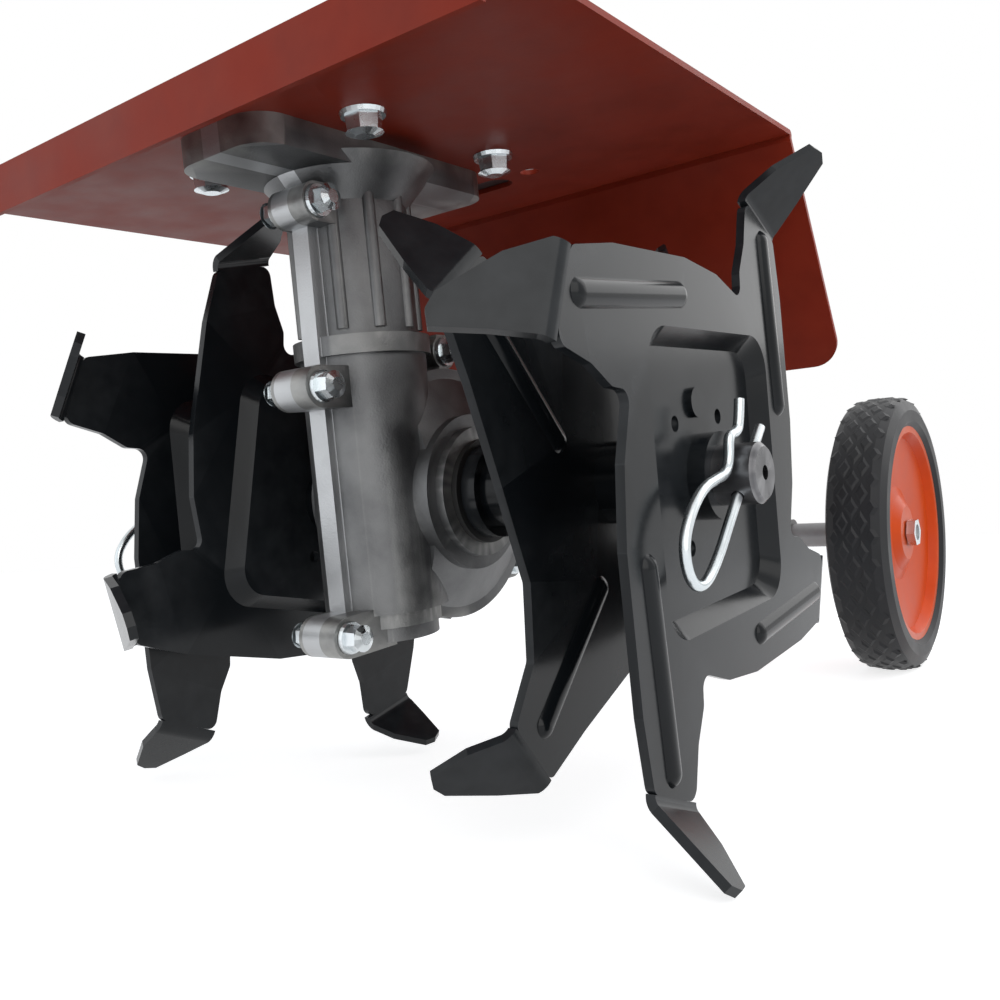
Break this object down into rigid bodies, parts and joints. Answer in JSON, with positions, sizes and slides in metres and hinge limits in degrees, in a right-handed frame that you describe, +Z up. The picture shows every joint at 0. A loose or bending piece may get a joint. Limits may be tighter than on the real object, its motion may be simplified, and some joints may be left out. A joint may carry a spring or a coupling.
{
  "type": "rotavator tilling unit",
  "caption": "Walk-behind rotavator's tilling unit: cast gearcase under a sheet hood, pinwheel tine plates on one shaft, rear transport wheels on a leg.",
  "frame": {"origin": "centre of the bounding box's base, on the floor", "axes": "+X to the machine's side along the tine shaft, +Y rear towards the wheels, +Z up"},
  "size_m": [0.3, 0.567, 0.3082],
  "materials": {
    "cast_alloy": "satin die casting",
    "seal_rubber": "matte",
    "bare_steel": "dark machined",
    "hood_paint": "semi-gloss orange",
    "frame_paint": "semi-gloss black",
    "tine_paint": "gloss black",
    "zinc_steel": "bright zinc",
    "grey_steel": "satin grey",
    "tyre": "matte",
    "rim_plastic": "glossy orange"
  },
  "bodies": {
    "chassis": {"gearcase_right": "cast_alloy", "gearcase_left": "cast_alloy", "gearcase_cap": "cast_alloy", "shaft_seal_right": "seal_rubber", "shaft_seal_left": "seal_rubber", "input_shaft": "bare_steel", "hood": "hood_paint", "motor_mount": "cast_alloy", "rear_beam": "frame_paint", "clevis_right": "frame_paint", "clevis_left": "frame_paint", "pivot_pin": "zinc_steel", "wheel_leg": "frame_paint", "wheel_axle": "grey_steel", "axle_nut_right": "zinc_steel", "axle_nut_left": "zinc_steel"},
    "rotor": {"tine_shaft": "bare_steel", "tine_hub_right": "tine_paint", "tine_hub_left": "tine_paint", "tine_plate_right_outer": "tine_paint", "tine_plate_right_inner": "tine_paint", "tine_plate_left_outer": "tine_paint", "tine_plate_left_inner": "tine_paint", "hairpin_right": "zinc_steel", "hairpin_left": "zinc_steel"},
    "wheel_right": {"tyre_right": "tyre", "rim_right": "rim_plastic"},
    "wheel_left": {"tyre_left": "tyre", "rim_left": "rim_plastic"}
  },
  "joints": [
    {"name": "rotor_spin", "type": "hinge", "parent": "chassis", "child": "rotor", "pos_m": [-0.0042, -0.15787, 0.11603], "axis": [1, 0, 0], "continuous": true},
    {"name": "wheel_right_spin", "type": "hinge", "parent": "chassis", "child": "wheel_right", "pos_m": [0.0908, 0.19672, 0.0868], "axis": [1, 0, 0], "continuous": true},
    {"name": "wheel_left_spin", "type": "hinge", "parent": "chassis", "child": "wheel_left", "pos_m": [-0.0992, 0.19672, 0.0868], "axis": [1, 0, 0], "continuous": true}
  ]
}
